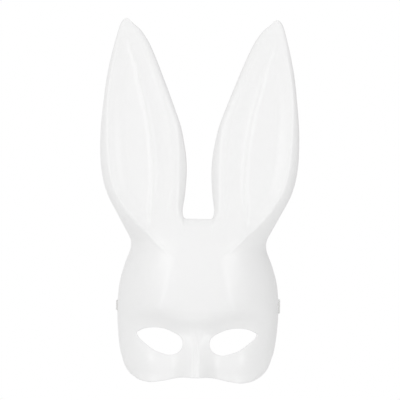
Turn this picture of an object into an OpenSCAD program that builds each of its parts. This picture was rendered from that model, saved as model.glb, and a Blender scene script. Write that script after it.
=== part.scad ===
// Rabbit-eared half mask: one moulded shell with eye openings and two tall ears,
// three foam pads behind it, and an elastic head strap looped through two side slots.
// X runs to the wearer's left, the face looks along -Y, Z is up.
// The origin lies on the eye line, in the plane of symmetry.

/* [Shell] */
// Thickness of the moulded wall
wall = 1.3; // [1:0.1:1.6]
// Height of each strap slot
slot_h = 12; // [11:0.5:14]
// Width of each strap slot, front to back
slot_w = 3; // [2.6:0.1:3.2]
// Height of the strap slots above the eye line
slot_z = 33; // [30:1:36]

/* [Pads] */
// Thickness of the foam pads
pad_t = 5; // [3:0.5:6]
// Length of the brow pad across the forehead
brow_pad_len = 92; // [60:2:96]
// Height of the brow pad
brow_pad_h = 15; // [10:1:18]
// Length of a cheek pad
cheek_pad_len = 30; // [20:1:32]
// Height of a cheek pad
cheek_pad_h = 11; // [8:1:12]

/* [Strap] */
// Width of the elastic webbing
web_w = 10; // [8:0.5:10]
// Thickness of the elastic webbing
web_t = 1.2; // [0.8:0.1:1.2]
// How far the strap reaches back from the eye line
strap_reach = 172; // [165:1:190]
// Length of the adjuster, along the strap
slider_len = 12; // [10:1:14]

/* [Hidden] */
$fn = 32;

// Outlines, each a list of [height, value]: half width, ear's inner edge, and depths towards -Y.
OUTER_EDGE = [[-38, 60], [-35, 65.2], [-31, 69.1], [-27, 71.9], [-19, 74.9], [-11, 77.5], [5, 80],
              [25, 81.5], [41, 81.2], [57, 79.4], [73, 75.1], [81, 72.2], [89, 69], [95, 68],
              [101, 68.7], [113, 74.8], [129, 83.4], [145, 91.6], [161, 96.4], [181, 99],
              [209, 99.1], [233, 97.2], [265, 93.4], [289, 88.6], [305, 84.6], [313, 82.4],
              [318, 80.3], [320.3, 78.4], [321.4, 76.6]];
INNER_EDGE = [[125.8, 15.2], [131, 15.7], [145, 13.8], [165, 12.4], [181, 12.9], [197, 15.3],
              [213, 18.8], [229, 24.3], [261, 36.7], [293, 50.2], [309, 60.1], [317, 69.1],
              [320.3, 72.8], [321.4, 74.6]];
BOTTOM_EDGE = [[0, -35.3], [14, -35.4], [30, -38.8], [44, -41], [52, -40.5], [57, -39.4], [60, -38.2]];
FACE_DEPTH = [[-40, 5.2], [-20, 3.4], [-4, 0.4], [8, -0.8], [17, 2], [26, 7.6], [33, 10.6], [43, 12],
              [60, 12.5], [80, 10.5], [95, 7.5], [110, 3], [126, -4]];
RIM_DEPTH = [[-40, -10], [-36, -22], [-29, -35], [-15, -49], [0, -58], [15, -65], [33, -69],
             [51, -65], [75, -57], [95, -46], [120, -38], [150, -30], [180, -24], [210, -21], [250, -20],
             [290, -22], [322, -27]];
EAR_DEPTH = [[90, 6], [125, 1], [150, -2], [200, -6], [260, -12], [322, -24]];
NOSE_HEIGHT = [[-40, 13], [-20, 9.5], [-8, 6.8], [4, 4], [14, 1.6], [26, 0]];

// Lines that the relief follows, each a list of [height, x].
INNER_CREST = [[110, 30], [131, 28.5], [146, 25.5], [176, 25.5], [223, 32], [256, 42.5],
               [281, 52], [301, 61], [321, 73]];
MID_RIDGE = [[110, 48], [131, 46.5], [164, 45.5], [198, 48], [231, 54], [256, 60.5], [273, 64],
             [289, 70], [321, 76]];
OUTER_CREST = [[76, 16], [85, 26], [94, 38], [106, 50], [121, 65], [136, 75], [151, 83.5],
               [176, 89], [231, 92], [265, 89], [289, 84], [305, 80.5], [321, 76]];
BROW_LINE = [[20, 41], [30, 38], [56, 29], [69, 25], [85, 20], [95, 16]];
// Heights of that relief, each a list of [height, amount].
CREST_RISE = [[80, 0], [94, 0.9], [121, 1.3], [176, 1], [265, 0.8], [321, 0]];
RIDGE_RISE = [[108, 0], [131, 1.35], [200, 1.4], [256, 1.25], [289, 0.8], [310, 0]];
BASIN_DEPTH = [[96, 0], [112, 0.7], [130, 2.9], [176, 4.2], [231, 3.5], [273, 2], [305, 0.9],
               [321, 0]];
VALLEY_DEPTH = [[105, 0], [131, 0.8], [176, 1.5], [256, 1.6], [289, 0.8], [321, 0]];
EDGE_ROLL = [[118, 0], [130, 4.5], [145, 6.5], [250, 6.5], [300, 4], [321.4, 1]];

// Half of an eye opening, [x, z] round its edge from the outer corner.
EYE = [[60.5, 7.8], [58, 9.2], [52, 11.8], [44, 13], [34, 12.4], [23, 8.6], [16.5, 4.7],
       [13.8, 0], [14.4, -6], [18.5, -11], [26, -13.3], [34.3, -11.7], [44.5, -7.5], [55.8, 0.6],
       [59.4, 4.6]];

notch_x = 15.2;      // half width of the gap between the ears at its foot
notch_z = 121.8;     // bottom of that gap
notch_r = 4;         // its corner radius
dome_turn = 86;      // how far the face wraps round from the front to the rim, degrees
dome_power = 2.3;    // 2 is an ellipse, more is flatter in front
columns_in = 4;      // grid columns from the middle to notch_x
columns_out = 17;    // grid columns from there to the rim
columns = columns_in + columns_out;
FACE_ROWS = [for (k = [0:32]) -38 + k * 4.9];
EAR_ROWS = [for (k = [1:22]) 125.8 + k * 8.3];
TIP_ROWS = [313, 317, 319.5, 321, 321.4];
ROWS = concat(FACE_ROWS, [notch_z + notch_r], EAR_ROWS, TIP_ROWS);
notch_row = len(FACE_ROWS);
top_row = len(ROWS) - 1;

rim_y = 69;          // rear edge of the shell at the strap slots
land = 4;            // shell left between slot and rear edge
rim_x = 81.4;        // outer face of the shell at the slots
gap = 0.3;           // clearance round webbing
eye_back = 45;       // how far the cut for the eyes reaches back and forward
eye_front = 20;
pad_gap = 0.5;       // between a pad and the shell
run_x = 81.2;        // middle of the strap's outer layer on its straight run
layer_gap = 0.4;     // between the two layers of webbing at the adjuster
lap_x = run_x - web_t - layer_gap;
hinge_y = rim_y - land / 2;
band_y = hinge_y + 9;
run_end = 126;       // where the strap's straight runs end
tail_end = 124;
hem_len = 7;         // the tail's folded end
lap_len = 14;        // the sewn end's overlap
stitch_h = 7;        // height of the rows of thread
slider_y = 106;      // middle of the adjuster
tack_t = 0.4;        // thread standing proud of the webbing

function clamp01(v) = min(1, max(0, v));
function smooth(a, b, v) = let (t = clamp01((v - a) / (b - a))) t * t * (3 - 2 * t);
function bump(v, w) = exp(-(v / w) * (v / w));
function knot(p, v, i = 0) = (i + 2 >= len(p) || v <= p[i + 1][0]) ? i : knot(p, v, i + 1);
function slope(p, i) =
    let (a = max(i - 1, 0), b = min(i + 1, len(p) - 1)) (p[b][1] - p[a][1]) / (p[b][0] - p[a][0]);

// A smooth curve through the points of p, held level beyond its ends.
function curve(p, v) =
    let (i = knot(p, v), h = p[i + 1][0] - p[i][0], t = clamp01((v - p[i][0]) / h), u = 1 - t)
    p[i][1] * (1 + 2 * t) * u * u + p[i + 1][1] * (1 + 2 * u) * t * t
    + h * (slope(p, i) * t * u * u - slope(p, i + 1) * u * t * t);

// Drop of a quarter round that ends nearly upright, for u from 0 to 1.
function rolled(u) = 1 - sqrt(1 - 0.99 * u * u);

// Everything that is the same along one row of the shell.
function row_of(z) = [
    curve(OUTER_EDGE, z), z, curve(RIM_DEPTH, z), curve(EAR_DEPTH, z),
    curve(INNER_CREST, z), curve(MID_RIDGE, z), curve(OUTER_CREST, z), curve(CREST_RISE, z),
    curve(RIDGE_RISE, z), curve(BASIN_DEPTH, z), curve(VALLEY_DEPTH, z), curve(EDGE_ROLL, z),
    curve(INNER_EDGE, z), curve(NOSE_HEIGHT, z), curve(BROW_LINE, z)];

function dome_drop(u) = 1 - pow(1 - pow(u, dome_power), 1 / dome_power);

// 0 before d = 0 and d after it, with a round turn of width w between.
function knee(d, w) =
    let (inside = clamp01(d / w + 0.5) * w) inside * inside / (2 * w) + max(d - w / 2, 0);

// Nose ridge: a narrow grooved top with straight flanks, wider between the brows.
function nose(x, z, r) =
    let (top = 3.1 + 4 * smooth(-4, 9, z), foot = 19.5 + 2 * smooth(-4, 9, z))
    r[13] * (1 - (knee(x - top, 2.4) - knee(x - foot, 12)) / (foot - top))
    - 0.9 * bump(x, 1.9) * (1 - smooth(-2, 10, z));

// Face: a dome with a nose ridge, eye hollows, cheeks, and a lower rim that turns back under.
function face_depth(x, z, r) =
    let (front = curve(FACE_DEPTH, r[1] + (7.5 * bump(x, 26) - 2.5) * bump(r[1] - 21, 15)))
    front - (front - r[2]) * dome_drop(min(x / r[0], 1) * sin(dome_turn)) / dome_drop(sin(dome_turn))
    + nose(x, z, r)
    - 4.6 * bump(x - 37, 25) * bump(z - 3, 13 + 12 * (1 - smooth(-6, 6, z)))
    + 2.2 * bump(x - 46, 12) * bump(z + 13, 15)
    - 4.5 * (1 - smooth(-44, -14, z)) * smooth(5, 25, x)
    - 2.5 * (1 - smooth(-42, -10, z)) * smooth(40, 68, x);

// Ear: a plate with rolled edges.
function ear_depth(x, r) =
    let (out = clamp01((x - r[6]) / max(r[0] - r[6], 1)),
         in = clamp01((r[4] - x) / max(r[4] - r[12], 1)))
    r[3] - (r[3] - r[2]) * rolled(out) - r[11] * rolled(in);

// Crest along the outer rim, middle ridge, basin and valley of the ear, and the brow lines.
function relief(x, z, r) =
    let (deepest = max(r[6] - 14, r[5] + 6))
    r[7] * bump(x - r[6], 2.6) + r[8] * bump(x - r[5], 2.8)
    - r[9] * smooth(r[5] - 6, deepest, x) * (1 - smooth(deepest - 3, deepest + 12, x))
    - r[10] * bump(x - (r[4] + r[5]) / 2, 7)
    + (1.7 - 0.8 * smooth(32, 64, z)) * smooth(20, 32, z) * (1 - smooth(74, 96, z))
    * bump(x - r[14], 8);

// How far the outer face of the shell stands towards -Y at half width x and height z.
function depth(x, z, r) =
    let (ear = smooth(88, 132, z))
    (1 - ear) * face_depth(x, z, r) + ear * ear_depth(x, r) + relief(x, z, r)
    - 3.4 * rolled(clamp01((z - notch_z + 4.5) / 6)) * (1 - smooth(12, 22, x));

// Height of the gap's foot between the ears at half width x.
function notch_edge(x) =
    let (d = max(x - notch_x + notch_r, 0)) notch_z + notch_r - sqrt(notch_r * notch_r - d * d);

// Half width of grid column j (counted from the middle) in the row at height z.
function column_x(j, z, r) =
    j <= columns_in ? notch_x * j / columns_in
    : let (k = (j - columns_in) / columns_out, ear = smooth(100, 140, z),
           first = z > notch_z + notch_r ? r[12] : notch_x,
           share = (1 - ear) * sin(90 * k) + ear * (k + 0.5 - 0.5 * cos(180 * k)) / 2)
      first + (r[0] - first) * share;

function ear_side(i, j) = i > notch_row && abs(j) == columns_in;

// Outer face point at row i and signed column j.
function grid_point(i, j) =
    let (z0 = ROWS[i], r = row_of(z0), n = abs(j),
         x = ear_side(i, j) ? r[12] : column_x(n, z0, r),
         low = (1 - smooth(-38, -14, z0)) * (curve(BOTTOM_EDGE, x) + 38),
         z = i == notch_row && n < columns_in ? notch_edge(x) : z0 + low)
    [j < 0 ? -x : x, -depth(x, z, r), z];

GRID = [for (i = [0:top_row]) [for (j = [-columns:columns]) grid_point(i, j)]];
function at(i, j) = GRID[i][j + columns];
function open_cell(i, j) = i > notch_row && abs(j) < columns_in;
function near(i, j, di, dj) =
    (i + di < 0 || i + di > top_row || abs(j + dj) > columns || open_cell(i + di, j + dj))
    ? at(i, j) : at(i + di, j + dj);

// Inner face point: the outer one moved in by the wall, square to the surface.
function inner_point(i, j) =
    let (across = near(i, j, 0, 1) - near(i, j, 0, -1), up = near(i, j, 1, 0) - near(i, j, -1, 0),
         n = cross(across, up))
    at(i, j) - wall * n / norm(n);

width = 2 * columns + 1;
inner_start = width * (top_row + 1);
function index(i, j, side) = side * inner_start + i * width + j + columns;
function quad(i, j, side) =
    let (a = index(i, j, side), b = index(i, j + 1, side), c = index(i + 1, j + 1, side),
         d = index(i + 1, j, side))
    side == 0 ? [[a, c, b], [a, d, c]] : [[a, b, c], [a, c, d]];
function edge_strip(i0, j0, i1, j1) =
    let (a = index(i0, j0, 0), b = index(i1, j1, 0), c = index(i1, j1, 1), d = index(i0, j0, 1))
    [[a, b, c], [a, c, d]];
function has_cell(i, j) = i < notch_row || j >= columns_in || j < -columns_in;

module shell_blank() {
    skin = [for (side = [0, 1], i = [0:top_row - 1], j = [-columns:columns - 1])
            if (has_cell(i, j)) each quad(i, j, side)];
    bottom = [for (j = [-columns:columns - 1]) each edge_strip(0, j, 0, j + 1)];
    top = [for (j = [-columns:columns - 1]) if (has_cell(top_row, j))
           each edge_strip(top_row, j + 1, top_row, j)];
    foot = [for (j = [-columns_in:columns_in - 1])
            each edge_strip(notch_row, j + 1, notch_row, j)];
    sides = [for (i = [0:top_row - 1]) each concat(
             edge_strip(i, columns, i + 1, columns), edge_strip(i + 1, -columns, i, -columns))];
    inner_sides = [for (i = [notch_row:top_row - 1]) each concat(
                   edge_strip(i + 1, columns_in, i, columns_in),
                   edge_strip(i, -columns_in, i + 1, -columns_in))];
    polyhedron(
        points = concat([for (row = GRID) each row],
                        [for (i = [0:top_row], j = [-columns:columns])
                         open_cell(i, j) ? at(i, j) : inner_point(i, j)]),
        faces = concat(skin, bottom, top, foot, sides, inner_sides));
}

// A closed smooth outline through the points of p, sharp at its first point.
function outline(p) =
    let (n = len(p))
    [for (i = [0:n - 1], t = [0, 0.25, 0.5, 0.75])
     let (a = p[i], b = p[(i + 1) % n],
          ta = i == 0 ? (b - a) : (b - p[i - 1]) / 2,
          tb = i == n - 1 ? (b - a) : (p[(i + 2) % n] - a) / 2, u = 1 - t)
     a * (1 + 2 * t) * u * u + b * (1 + 2 * u) * t * t + ta * t * u * u - tb * u * t * t];

module mask_shell() {
    color([0.94, 0.94, 0.94]) resize([0, 0, 0]) difference() {
        shell_blank();
        for (side = [0, 1]) mirror([side, 0, 0]) {
            rotate([90, 0, 0]) translate([0, 0, -eye_back]) linear_extrude(eye_back + eye_front)
                polygon(outline(EYE));
            translate([rim_x - 5, rim_y - land - slot_w, slot_z - slot_h / 2])
                cube([10, slot_w, slot_h]);
        }
    }
}

// Point of the shell's inner side, moved further in by d.
function behind(x, z, d) =
    let (h = 0.5, s = x < 0 ? -1 : 1,
         y = -depth(abs(x), z, row_of(z)),
         yx = -depth(abs(x) + h, z, row_of(z)),
         yz = -depth(abs(x), z + h, row_of(z + h)),
         n = cross([h * s, yx - y, 0], [0, yz - y, h]) * s)
    [x, y, z] - (wall + d) * n / norm(n);

// A pad of even thickness on the shell's inner side, round at both ends.
module pad(cx, cz, len, high, tilt = 0) {
    ends = 5;
    spans = 8;
    us = concat([for (k = [0:ends]) -1 + (high / len) * (1 - cos(90 * k / ends))],
                [for (k = [1:spans - 1]) let (e = 1 - high / len) -e + 2 * e * k / spans],
                [for (k = [0:ends]) 1 - (high / len) * (1 - cos(90 * (1 - k / ends)))]);
    function half(u) = let (d = max(abs(u) - 1 + high / len, 0) * len / high)
                       high / 2 * sqrt(max(1 - d * d, 0.02));
    rows = 4;
    function place(u, v, d) =
        let (x = u * len / 2, z = v * half(u))
        behind(cx + x * cos(tilt) - z * sin(tilt), cz + x * sin(tilt) + z * cos(tilt), d);
    function spot(i, k, side) = side * len(us) * (rows + 1) + i * (rows + 1) + k;
    function side_faces(side) = [for (i = [0:len(us) - 2], k = [0:rows - 1])
        let (a = spot(i, k, side), b = spot(i + 1, k, side), c = spot(i + 1, k + 1, side),
             e = spot(i, k + 1, side))
        each side == 0 ? [[a, c, b], [a, e, c]] : [[a, b, c], [a, c, e]]];
    function wall_faces(i0, k0, i1, k1) =
        let (a = spot(i0, k0, 0), b = spot(i1, k1, 0), c = spot(i1, k1, 1), e = spot(i0, k0, 1))
        [[a, b, c], [a, c, e]];
    last = len(us) - 1;
    polyhedron(
        points = [for (d = [pad_gap, pad_gap + pad_t], u = us, k = [0:rows]) place(u, 2 * k / rows - 1, d)],
        faces = concat(side_faces(0), side_faces(1),
                       [for (i = [0:last - 1]) each wall_faces(i, 0, i + 1, 0)],
                       [for (i = [0:last - 1]) each wall_faces(i + 1, rows, i, rows)],
                       [for (k = [0:rows - 1]) each wall_faces(last, k, last, k + 1)],
                       [for (k = [0:rows - 1]) each wall_faces(0, k + 1, 0, k)]));
}

module brow_pad() {
    color([0.82, 0.82, 0.81]) pad(0, 44, brow_pad_len, brow_pad_h);
}

module left_cheek_pad() {
    color([0.82, 0.82, 0.81]) pad(44, -26, cheek_pad_len, cheek_pad_h, 8);
}

module right_cheek_pad() {
    color([0.82, 0.82, 0.81]) pad(-44, -26, cheek_pad_len, cheek_pad_h, -8);
}

// Extrudes a flat shape over the webbing's width, centred on the slots.
module web() {
    translate([0, 0, slot_z - web_w / 2]) linear_extrude(web_w) children();
}

module rounded_box(x0, x1, y0, y1, r) {
    hull() for (x = [x0 + r, x1 - r], y = [y0 + r, y1 - r]) translate([x, y]) circle(r);
}

// Webbing wrapped round the land between slot and rear edge, on the wearer's left.
module loop() {
    color([0.93, 0.93, 0.92]) web() difference() {
        rounded_box(rim_x - wall - gap - web_t, rim_x + gap + web_t,
                    rim_y - land - gap - web_t, rim_y + gap + web_t, 1.4);
        rounded_box(rim_x - wall - gap, rim_x + gap, rim_y - land - gap, rim_y + gap, 0.4);
    }
}

module left_loop() {
    loop();
}

module right_loop() {
    mirror([1, 0, 0]) loop();
}

// Half ellipse round the back of the head, o outside the webbing's middle.
function back_curve(o) = [for (k = [0:40]) let (a = k * 4.5)
    [(run_x + o) * cos(a), run_end + (strap_reach - run_end - web_t / 2 + o) * sin(a)]];

module strap_band() {
    o = web_t / 2;
    back = back_curve(-o);
    color([0.93, 0.93, 0.92]) web() polygon(concat(
        [[run_x + o, band_y]], back_curve(o), [[-run_x - o, band_y], [-run_x + o, band_y]],
        [for (k = [len(back) - 1:-1:0]) back[k]], [[run_x - o, band_y]]));
}

// Return layer on the wearer's left, with its end folded into a hem.
module strap_tail() {
    o = web_t / 2;
    color([0.93, 0.93, 0.92]) web() polygon([
        [lap_x + o, band_y], [lap_x + o, tail_end], [lap_x - web_t - o, tail_end],
        [lap_x - web_t - o, tail_end - hem_len], [lap_x - o, tail_end - hem_len], [lap_x - o, band_y]]);
}

// Return layer on the wearer's right, sewn to the band.
module sewn_lap() {
    o = web_t / 2;
    color([0.93, 0.93, 0.92]) web() translate([-lap_x - o, band_y]) square([web_t, lap_len]);
}

// Rows of thread on both faces of a lap whose faces lie at x0 and x1.
module tack(x0, x1, y, len) {
    color([0.97, 0.97, 0.96]) for (x = [x0 - tack_t - 0.02, x1 + 0.02])
        translate([x, y, slot_z - stitch_h / 2]) cube([tack_t, len, stitch_h]);
}

module lap_tack() {
    o = web_t / 2;
    tack(-run_x - o, -lap_x + o, band_y + 5, 4);
}

module tail_tack() {
    o = web_t / 2;
    color([0.97, 0.97, 0.96])
        translate([lap_x - web_t - o - tack_t - 0.02, tail_end - 4, slot_z - stitch_h / 2])
        cube([tack_t, 1.5, stitch_h]);
}

// Ladder adjuster: two rails, a middle bar inside the webbing and two end bars outside it.
module slider() {
    low = lap_x - web_t / 2 - gap;
    high = run_x + web_t / 2 + gap;
    bar = 1.4;
    bar_len = 2.2;
    middle_len = 2.6;
    rail = 1.8;
    rail_z = web_w / 2 + gap + 0.1;
    corner = 1.2;
    color([0.9, 0.9, 0.9]) union() {
        for (side = [0, 1]) translate([0, 0, slot_z + (side == 0 ? rail_z : -rail_z - rail)])
            linear_extrude(rail) rounded_box(low - bar, high + bar, slider_y - slider_len / 2,
                                             slider_y + slider_len / 2, corner);
        translate([0, 0, slot_z - rail_z - rail / 2]) linear_extrude(2 * rail_z + rail) {
            translate([low - bar, slider_y - middle_len / 2]) square([bar, middle_len]);
            for (y = [slider_y - slider_len / 2 + 1, slider_y + slider_len / 2 - 1 - bar_len])
                translate([high, y]) square([bar, bar_len]);
        }
    }
}

mask_shell();
brow_pad();
left_cheek_pad();
right_cheek_pad();
left_loop();
right_loop();
strap_band();
strap_tail();
sewn_lap();
lap_tack();
tail_tack();
slider();
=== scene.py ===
"""A white moulded half mask with rabbit ears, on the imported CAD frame: a shell, foam pads behind it
and an elastic strap with a ladder adjuster."""

import math

import bmesh
import bpy
import numpy as np
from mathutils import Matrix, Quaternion, Vector


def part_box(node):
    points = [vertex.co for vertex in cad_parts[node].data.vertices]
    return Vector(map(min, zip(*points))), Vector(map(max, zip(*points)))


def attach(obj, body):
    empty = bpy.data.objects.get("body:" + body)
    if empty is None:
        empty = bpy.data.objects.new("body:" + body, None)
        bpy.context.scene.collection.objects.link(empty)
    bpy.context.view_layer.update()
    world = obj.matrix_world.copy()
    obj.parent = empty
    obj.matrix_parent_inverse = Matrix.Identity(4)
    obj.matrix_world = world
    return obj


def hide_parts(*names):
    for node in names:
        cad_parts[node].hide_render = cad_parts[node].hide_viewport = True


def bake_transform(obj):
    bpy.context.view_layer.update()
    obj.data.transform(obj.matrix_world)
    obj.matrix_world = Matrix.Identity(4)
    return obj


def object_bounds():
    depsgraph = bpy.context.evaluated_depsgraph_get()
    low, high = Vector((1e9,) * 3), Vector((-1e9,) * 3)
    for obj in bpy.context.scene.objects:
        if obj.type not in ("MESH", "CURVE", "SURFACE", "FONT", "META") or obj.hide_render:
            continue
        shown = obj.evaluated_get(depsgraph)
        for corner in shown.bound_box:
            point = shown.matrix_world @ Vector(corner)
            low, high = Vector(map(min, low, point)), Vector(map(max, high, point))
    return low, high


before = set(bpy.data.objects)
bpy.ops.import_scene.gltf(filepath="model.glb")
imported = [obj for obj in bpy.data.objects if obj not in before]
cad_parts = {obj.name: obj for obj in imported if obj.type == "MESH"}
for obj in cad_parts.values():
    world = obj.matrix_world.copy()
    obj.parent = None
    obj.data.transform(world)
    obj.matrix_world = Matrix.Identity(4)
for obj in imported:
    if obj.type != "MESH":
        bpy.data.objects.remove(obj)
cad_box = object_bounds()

MM = 0.001

# ---------------------------------------------------------------- sizes, in millimetres
WALL = 1.3                # thickness of the moulded wall
LIP = 0.4                 # how far the rounded edge stands out past the wall's edge
ROW_LOW = -38.0           # height at which the lowest row of the shell's grid starts
ROW_TOP = 321.4           # height of its top row, at the ear's tip
SLOT = (1.5, 6.0)         # half width and half height of a strap slot
LAND = 4.0                # shell left between slot and rear edge
RIM_X = 81.4              # outer face of the shell at the slots
NOTCH_X = 15.2            # half width of the gap between the ears at its foot
NOTCH_Z = 121.8           # bottom of that gap
NOTCH_R = 4.0             # its corner radius
NOTCH_TOP = NOTCH_Z + NOTCH_R
DOME_TURN = math.radians(86)             # how far round the face's dome goes before its rim
DOME_POWER = 2.3          # 2 is an ellipse, more is flatter in front
NOTCH_SHARE = 0.16        # share of a row's columns that lie inside NOTCH_X


def node_box(node):
    """Low and high corner of a CAD node, in millimetres."""
    return [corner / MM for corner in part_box(node)]


strap_low, strap_high = node_box("strap_band")
loop_high = node_box("left_loop")[1]
tail_high = node_box("strap_tail")[1]
slider_low, slider_high = node_box("slider")
lap_low, lap_high = node_box("sewn_lap")
tack_low, tack_high = node_box("lap_tack")
stitch_low, stitch_high = node_box("tail_tack")
WEB_W = strap_high.z - strap_low.z       # width and thickness of the webbing
WEB_T = lap_high.x - lap_low.x
WEB_RIBS = 10             # ribs across it
WEB_EDGE = 0.45           # width of the rounding at each of its edges
SLOT_Z = (strap_high.z + strap_low.z) / 2
CLEAR = 0.3               # clearance round the webbing
RUN_X = strap_high.x - WEB_T / 2         # middle of the strap's straight runs
LAP_X = tail_high.x - WEB_T / 2          # middle of the layer laid inside them
RUN_END = 126             # where the strap's straight runs end
BEND = (70.5, 80)         # the strap's joint with the shell lies between these
HEM_LENGTH = 6            # webbing folded over at the strap's end
HEM_TURN = 0.52           # radius of that fold, in thicknesses of the webbing
RIM_Y = loop_high.y - CLEAR - WEB_T      # rear edge of the shell at the slots
SLOT_Y = RIM_Y - LAND - SLOT[0]          # middle of a slot
PAD_T = 5.0               # thickness of the foam
# Node, middle, length and height, and tilt of each piece of foam.
PADS = {"brow_foam": ("brow_pad", (0, 44), (92, 15), 0),
        "left_cheek_foam": ("left_cheek_pad", (44, -26), (30, 11), math.radians(8)),
        "right_cheek_foam": ("right_cheek_pad", (-44, -26), (30, 11), math.radians(-8))}

# Outlines and depths of the shell, each a list of (height, value) that a smooth curve runs through.
OUTER_EDGE = [(-38, 60), (-35, 65.2), (-31, 69.1), (-27, 71.9), (-19, 74.9), (-11, 77.5), (5, 80),
              (25, 81.5), (41, 81.2), (57, 79.4), (73, 75.1), (81, 72.2), (89, 69), (95, 68),
              (101, 68.7), (113, 74.8), (129, 83.4), (145, 91.6), (161, 96.4), (181, 99),
              (209, 99.1), (233, 97.2), (265, 93.4), (289, 88.6), (305, 84.6), (313, 82.4),
              (318, 80.3), (320.3, 78.4), (ROW_TOP, 76.6)]
INNER_EDGE = [(NOTCH_TOP, NOTCH_X), (131, 15.7), (145, 13.8), (165, 12.4), (181, 12.9), (197, 15.3),
              (213, 18.8), (229, 24.3), (261, 36.7), (293, 50.2), (309, 60.1), (317, 69.1),
              (320.3, 72.8), (ROW_TOP, 74.6)]
FACE_DEPTH = [(-40, 5.2), (-20, 3.4), (-4, 0.4), (8, -0.8), (17, 2), (26, 7.6), (33, 10.6), (43, 12),
              (60, 12.5), (80, 10.5), (95, 7.5), (110, 3), (126, -4)]
RIM_DEPTH = [(-40, -10), (-36, -22), (-29, -35), (-15, -49), (0, -58), (15, -65), (33, -69),
             (51, -65), (75, -57), (95, -46), (120, -38), (150, -30), (180, -24), (210, -21), (250, -20),
             (290, -22), (322, -27)]
EAR_DEPTH = [(90, 6), (125, 1), (150, -2), (200, -6), (260, -12), (322, -24)]
NOSE_HEIGHT = [(-40, 13), (-20, 9.5), (-8, 6.8), (4, 4), (14, 1.6), (26, 0)]
# The shell's lower edge, as (half width, height).
BOTTOM_EDGE = [(0, -35.3), (14, -35.4), (30, -38.8), (44, -41), (52, -40.5), (57, -39.4), (60, -38.2)]

# Lines that the relief follows, each a list of (height, half width).
INNER_CREST = [(110, 30), (131, 28.5), (146, 25.5), (176, 25.5), (223, 32), (256, 42.5),
               (281, 52), (301, 61), (321, 73)]
MID_RIDGE = [(110, 48), (131, 46.5), (164, 45.5), (198, 48), (231, 54), (256, 60.5), (273, 64),
             (289, 70), (321, 76)]
OUTER_CREST = [(76, 16), (85, 26), (94, 38), (106, 50), (121, 65), (136, 75), (151, 83.5),
               (176, 89), (231, 92), (265, 89), (289, 84), (305, 80.5), (321, 76)]
BROW_LINE = [(20, 41), (30, 38), (56, 29), (69, 25), (85, 20), (95, 16)]
# How far each of them, and the valley between inner crest and middle ridge, spreads sideways.
INNER_CREST_SPREAD = 2.2
MID_RIDGE_SPREAD = 2.8
OUTER_CREST_SPREAD = 2.6
BROW_LINE_SPREAD = 8
VALLEY_SPREAD = 7
# How much each of them rises or sinks, by height.
CREST_RISE = [(80, 0), (94, 0.9), (121, 1.3), (176, 1.0), (265, 0.8), (321, 0)]
RIDGE_RISE = [(108, 0), (131, 1.35), (200, 1.4), (256, 1.25), (289, 0.8), (310, 0)]
BASIN_DEPTH = [(96, 0), (112, 0.7), (130, 2.9), (176, 4.2), (231, 3.5), (273, 2), (305, 0.9), (321, 0)]
VALLEY_DEPTH = [(105, 0), (131, 0.8), (176, 1.5), (256, 1.6), (289, 0.8), (321, 0)]
EDGE_ROLL = [(118, 0), (130, 4.5), (145, 6.5), (250, 6.5), (300, 4), (ROW_TOP, 1)]

# Half of an eye opening, round its edge from the sharp outer corner.
EYE = [(60.5, 7.8), (58, 9.2), (52, 11.8), (44, 13), (34, 12.4), (23, 8.6), (16.5, 4.7), (13.8, 0),
       (14.4, -6), (18.5, -11), (26, -13.3), (34.3, -11.7), (44.5, -7.5), (55.8, 0.6), (59.4, 4.6)]
EYE_MIDDLE = (36, 0.5)


# ---------------------------------------------------------------- camera
def make_camera():
    """Far off with a long lens, a degree to the wearer's left, and rolled a degree."""
    aim = Vector((1.1, 25, 140.7)) * MM
    distance = 3.3
    turn = math.radians(1.0)
    data = bpy.data.cameras.new("camera")
    data.sensor_width = 36
    data.lens = 36 * distance / 0.4
    data.clip_end = 60
    camera = bpy.data.objects.new("camera", data)
    bpy.context.scene.collection.objects.link(camera)
    camera.location = aim + Vector((math.sin(turn), -math.cos(turn), 0)) * distance
    camera.rotation_mode = "QUATERNION"
    look = (aim - camera.location).to_track_quat("-Z", "Y")
    camera.rotation_quaternion = look @ Quaternion((0, 0, 1), math.radians(0.93))
    bpy.context.scene.camera = camera


# ---------------------------------------------------------------- small curve maths
def clamp01(v):
    return np.clip(v, 0, 1)


def smooth(a, b, v):
    """0 before a and 1 after b, with an S curve between."""
    t = clamp01((v - a) / (b - a))
    return t * t * (3 - 2 * t)


def bump(v, width):
    """1 where v is 0, falling off to both sides over about that width."""
    return np.exp(-((v / width) ** 2))


def knee(d, width):
    """0 before d = 0 and d after it, with a round turn of that width between."""
    inside = clamp01((d + width / 2) / width) * width
    return inside * inside / (2 * width) + np.maximum(d - width / 2, 0)


def rolled(u):
    """Drop of a quarter round that ends nearly upright, for u from 0 to 1."""
    return 1 - np.sqrt(1 - 0.99 * u * u)


def curve(points, v):
    """A smooth curve through the points, held level beyond its ends, read at the array v."""
    p = np.array(points, float)
    v = np.asarray(v, float)
    m = np.gradient(p[:, 1], p[:, 0])
    m[1:-1] = (p[2:, 1] - p[:-2, 1]) / (p[2:, 0] - p[:-2, 0])
    i = np.clip(np.searchsorted(p[:, 0], v, side="left") - 1, 0, len(p) - 2)
    h = p[i + 1, 0] - p[i, 0]
    t = clamp01((v - p[i, 0]) / h)
    u = 1 - t
    return (p[i, 1] * (1 + 2 * t) * u * u + p[i + 1, 1] * (1 + 2 * u) * t * t
            + h * (m[i] * t * u * u - m[i + 1] * u * t * t))


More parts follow.
